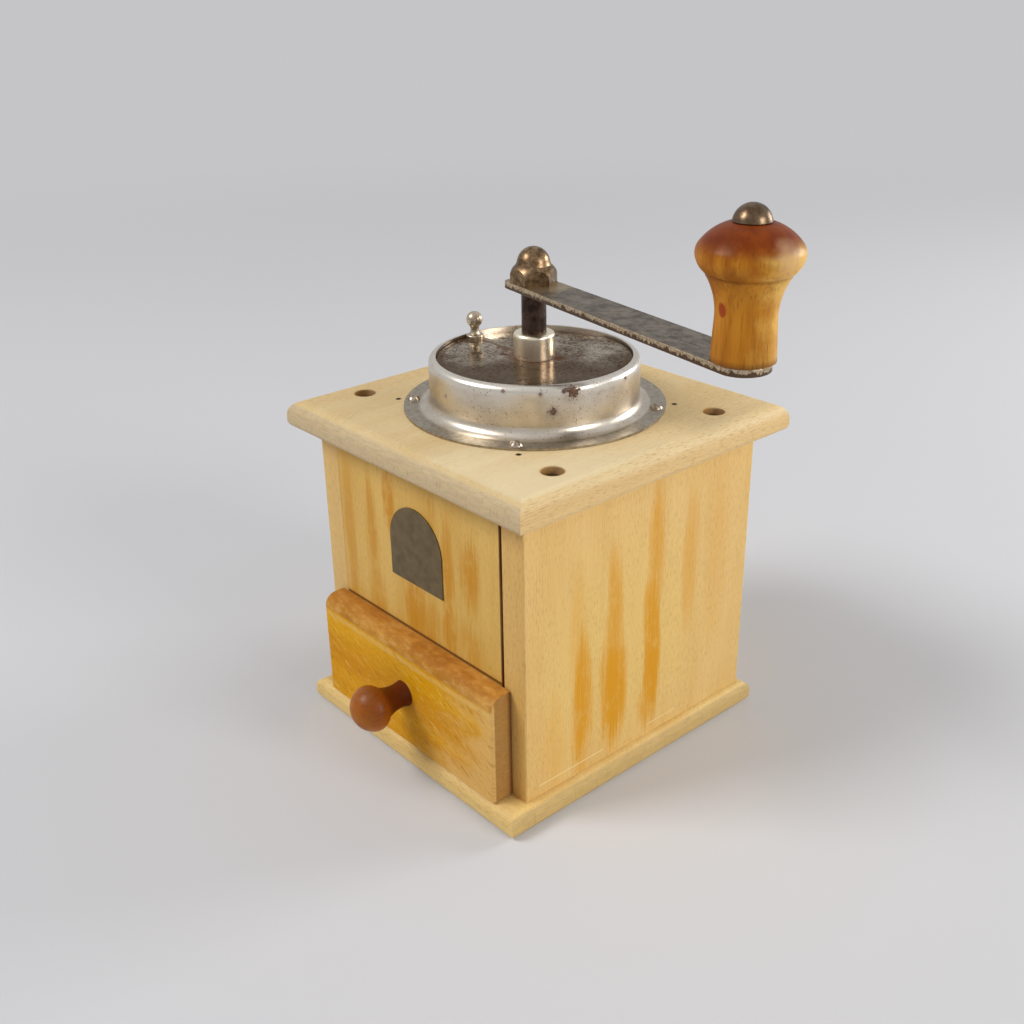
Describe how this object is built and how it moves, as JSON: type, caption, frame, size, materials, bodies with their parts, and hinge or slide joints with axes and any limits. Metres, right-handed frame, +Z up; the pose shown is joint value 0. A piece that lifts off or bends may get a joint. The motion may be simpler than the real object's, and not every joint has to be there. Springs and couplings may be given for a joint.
{
  "type": "hand crank coffee grinder",
  "caption": "Box coffee mill of wood with a round metal bean housing, turning lid shutter, hand crank with wooden handle, burr works and a drawer for the ground coffee.",
  "frame": {"origin": "the shaft axis at the underside of the base board", "axes": "+Z up along the shaft, -Y towards the drawer's front, +X to the right seen from the drawer"},
  "size_m": [0.1809, 0.1485, 0.2083],
  "materials": {
    "base_wood": "oiled beech",
    "top_wood": "worn beech",
    "panel_wood": "oiled beech with amber stains",
    "drawer_wood": "oiled beech, amber",
    "drawer_box_wood": "bare beech",
    "knob_wood": "glossy reddish brown varnish",
    "handle_wood": "varnished beech",
    "badge_metal": "dull, blank",
    "housing_nickel": "worn nickel plate, satin",
    "lid_steel": "worn, with rust specks",
    "bright_nickel": "polished",
    "arm_steel": "mottled nickel wear",
    "pin_steel": "bronze-grey",
    "shaft_steel": "dark brown",
    "screw_steel": "dark",
    "cast_iron": "as cast",
    "burr_steel": "ground"
  },
  "bodies": {
    "case": {"base_board": "base_wood", "top_board": "top_wood", "side_panel_left": "panel_wood", "side_panel_right": "panel_wood", "front_panel": "panel_wood", "back_panel": "panel_wood", "badge_plate": "badge_metal", "top_board_screws": "screw_steel", "base_board_screws": "screw_steel", "bean_housing": "housing_nickel", "flange_screws": "bright_nickel", "hopper_cover": "lid_steel", "bearing_collar": "bright_nickel", "upper_bridge": "cast_iron", "upper_bridge_screws": "screw_steel", "burr_housing": "cast_iron", "burr_housing_screws": "screw_steel", "outer_burr": "burr_steel", "lower_bridge": "cast_iron", "lower_bridge_screws": "screw_steel"},
    "lid": {"lid_shutter": "lid_steel", "lid_knob": "bright_nickel"},
    "thrust": {"thrust_ball": "screw_steel"},
    "adjuster": {"adjusting_screw": "screw_steel"},
    "crank": {"drive_shaft": "shaft_steel", "inner_burr": "burr_steel", "burr_pin": "shaft_steel", "crank_arm": "arm_steel", "acorn_nut": "bright_nickel", "handle_pin": "pin_steel"},
    "handle": {"crank_handle": "handle_wood"},
    "drawer": {"drawer_front": "drawer_wood", "drawer_side_left": "drawer_box_wood", "drawer_side_right": "drawer_box_wood", "drawer_back": "drawer_box_wood", "drawer_bottom": "drawer_box_wood", "drawer_knob": "knob_wood"}
  },
  "joints": [
    {"name": "burr_lift", "type": "slide", "parent": "case", "child": "thrust", "axis": [0, 0, 1], "range_m": [-0.00092, 0.00092]},
    {"name": "adjust_turn", "type": "hinge", "parent": "thrust", "child": "adjuster", "pos_m": [0, 0, 0.0526], "axis": [0, 0, 1], "range_deg": [-270, 270]},
    {"name": "crank_spin", "type": "hinge", "parent": "thrust", "child": "crank", "pos_m": [0, 0, 0.1635], "axis": [0, 0, 1], "continuous": true},
    {"name": "handle_spin", "type": "hinge", "parent": "crank", "child": "handle", "pos_m": [0.1031, -0.01707, 0.1663], "axis": [0, 0, 1], "continuous": true},
    {"name": "lid_turn", "type": "hinge", "parent": "case", "child": "lid", "pos_m": [0, 0, 0.1396], "axis": [0, 0, 1], "range_deg": [0, 86]},
    {"name": "drawer_slide", "type": "slide", "parent": "case", "child": "drawer", "axis": [0, -1, 0], "range_m": [0, 0.08]}
  ],
  "couplings": [
    {"joint": "adjust_turn", "follows": "burr_lift", "rad_per_m": 5026.5}
  ]
}
